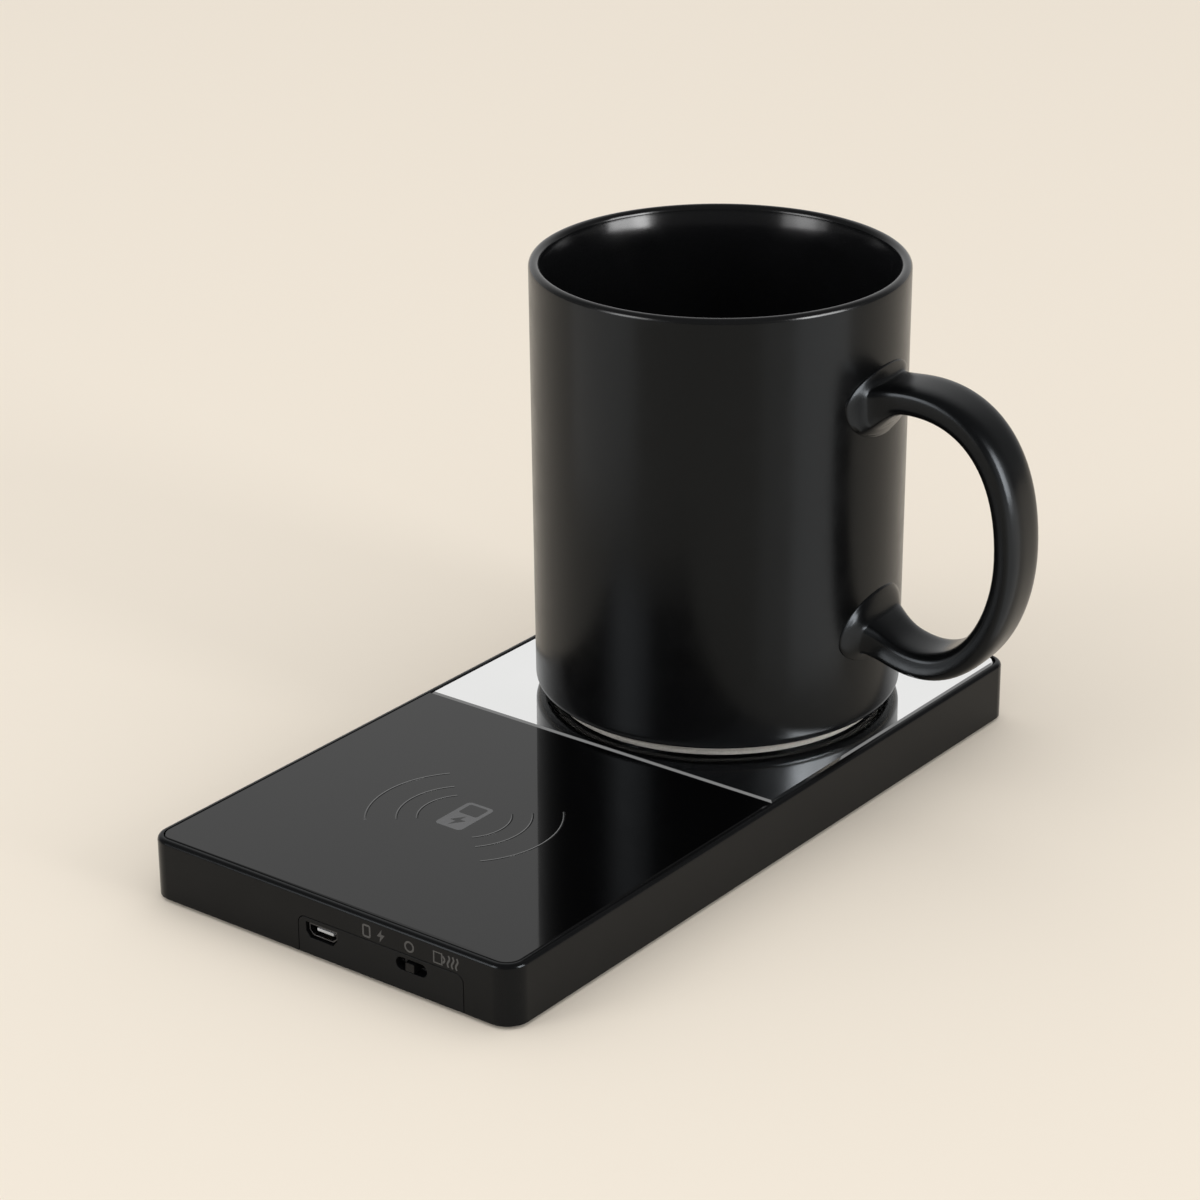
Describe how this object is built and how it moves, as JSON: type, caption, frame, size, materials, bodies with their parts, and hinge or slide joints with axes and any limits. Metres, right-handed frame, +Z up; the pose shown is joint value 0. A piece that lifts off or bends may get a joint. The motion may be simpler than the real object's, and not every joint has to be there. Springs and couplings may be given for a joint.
{
  "type": "mug on a heating and charging base",
  "caption": "Black ceramic mug with an ear handle on a flat black base: polished warming plate at the rear, wireless charging glass at the front, power socket and slide switch on the front.",
  "frame": {"origin": "centre of the base's footprint, on the plane of the table that its four feet stand on", "axes": "+X across the base to the right when facing the socket and switch, +Y along the base from that front face to the mug, +Z up"},
  "size_m": [0.1258, 0.1825, 0.1134],
  "materials": {
    "housing": "satin-gloss black moulding",
    "cover": "fine-textured black moulding",
    "black_glass": "polished glass, black behind",
    "polished_plate": "mirror polish with bevelled edges",
    "tape": "black adhesive foam",
    "seal": "grey silicone",
    "film": "amber film",
    "track": "etched foil",
    "insulation": "pressed fibre",
    "thermistor": "epoxy bead",
    "fuse": "bare ceramic",
    "coil_copper": "enamelled stranded copper",
    "ferrite": "sintered ferrite",
    "board": "green solder mask",
    "chip": "moulded epoxy",
    "capacitor": "ceramic chip",
    "inductor": "ferrite",
    "socket_metal": "sheet with a black plating",
    "socket_core": "pale moulded core",
    "contact": "gold flash",
    "switch_metal": "tinned sheet",
    "slider": "moulded black",
    "lead_red": "silicone insulation",
    "lead_white": "silicone insulation",
    "foot_rubber": "matt rubber",
    "screw_steel": "zinc-plated",
    "mug_glaze": "black glaze, satin outside and glossy inside"
  },
  "bodies": {
    "base": {"top_housing": "housing", "bottom_cover": "cover", "charging_glass": "black_glass", "heating_plate": "polished_plate", "glass_tape": "tape", "plate_seal": "seal", "heater_film": "film", "heater_trace": "track", "insulation_pad": "insulation", "thermistor": "thermistor", "thermal_fuse": "fuse", "charging_coil": "coil_copper", "ferrite_sheet": "ferrite", "circuit_board": "board", "controller_chip": "chip", "driver_chips": "chip", "resonant_capacitors": "capacitor", "power_inductor": "inductor", "usb_shell": "socket_metal", "usb_insert": "socket_core", "usb_contacts": "contact", "switch_frame": "switch_metal", "switch_terminals": "switch_metal", "heater_leads": "lead_red", "coil_leads": "coil_copper", "thermistor_leads": "lead_white", "rubber_feet": "foot_rubber", "cover_screws": "screw_steel", "board_screws": "screw_steel"},
    "switch": {"switch_slider": "slider"},
    "mug": {"mug": "mug_glaze"}
  },
  "joints": [
    {"name": "switch_slide", "type": "slide", "parent": "base", "child": "switch", "axis": [1, 0, 0], "range_m": [-0.002, 0.002]},
    {"name": "mug_lift", "type": "slide", "parent": "base", "child": "mug", "axis": [0, 0, 1], "range_m": [0, 0.12]}
  ]
}
